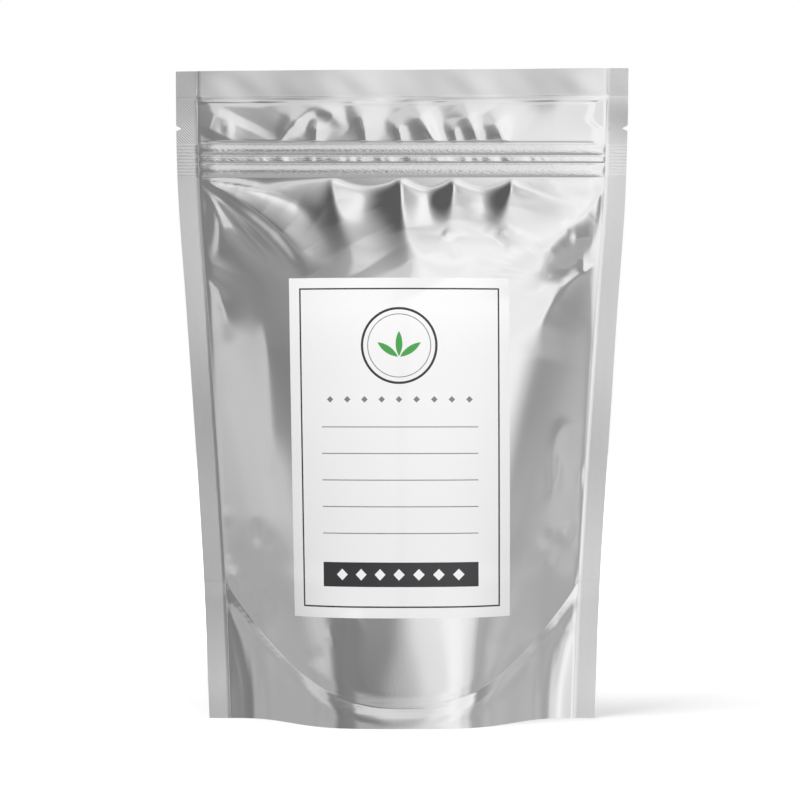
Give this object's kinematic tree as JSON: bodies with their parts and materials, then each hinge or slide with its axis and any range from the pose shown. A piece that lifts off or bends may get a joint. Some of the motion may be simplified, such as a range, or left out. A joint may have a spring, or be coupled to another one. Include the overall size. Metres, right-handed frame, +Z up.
{
  "type": "filled foil stand-up pouch",
  "caption": "Filled silver foil stand-up pouch with welded seams, a press-to-close zip, tear notches, a bottom gusset and a plain paper label.",
  "frame": {"origin": "middle of the pouch's foot, on the surface that it stands on", "axes": "+Z up along the pouch's height, +X to the right across its width seen from the front, front face towards -Y"},
  "size_m": [0.2106, 0.0866, 0.302],
  "materials": {
    "foil": "satin",
    "zip_plastic": "satin",
    "label_paper": "satin",
    "dried_fruit": "satin"
  },
  "bodies": {
    "root": {"front_panel": "foil", "back_panel": "foil", "bottom_gusset": "foil", "zip_groove_strip": "zip_plastic", "zip_rib_strip": "zip_plastic", "front_label": "label_paper", "dried_berries": "dried_fruit"}
  },
  "joints": []
}
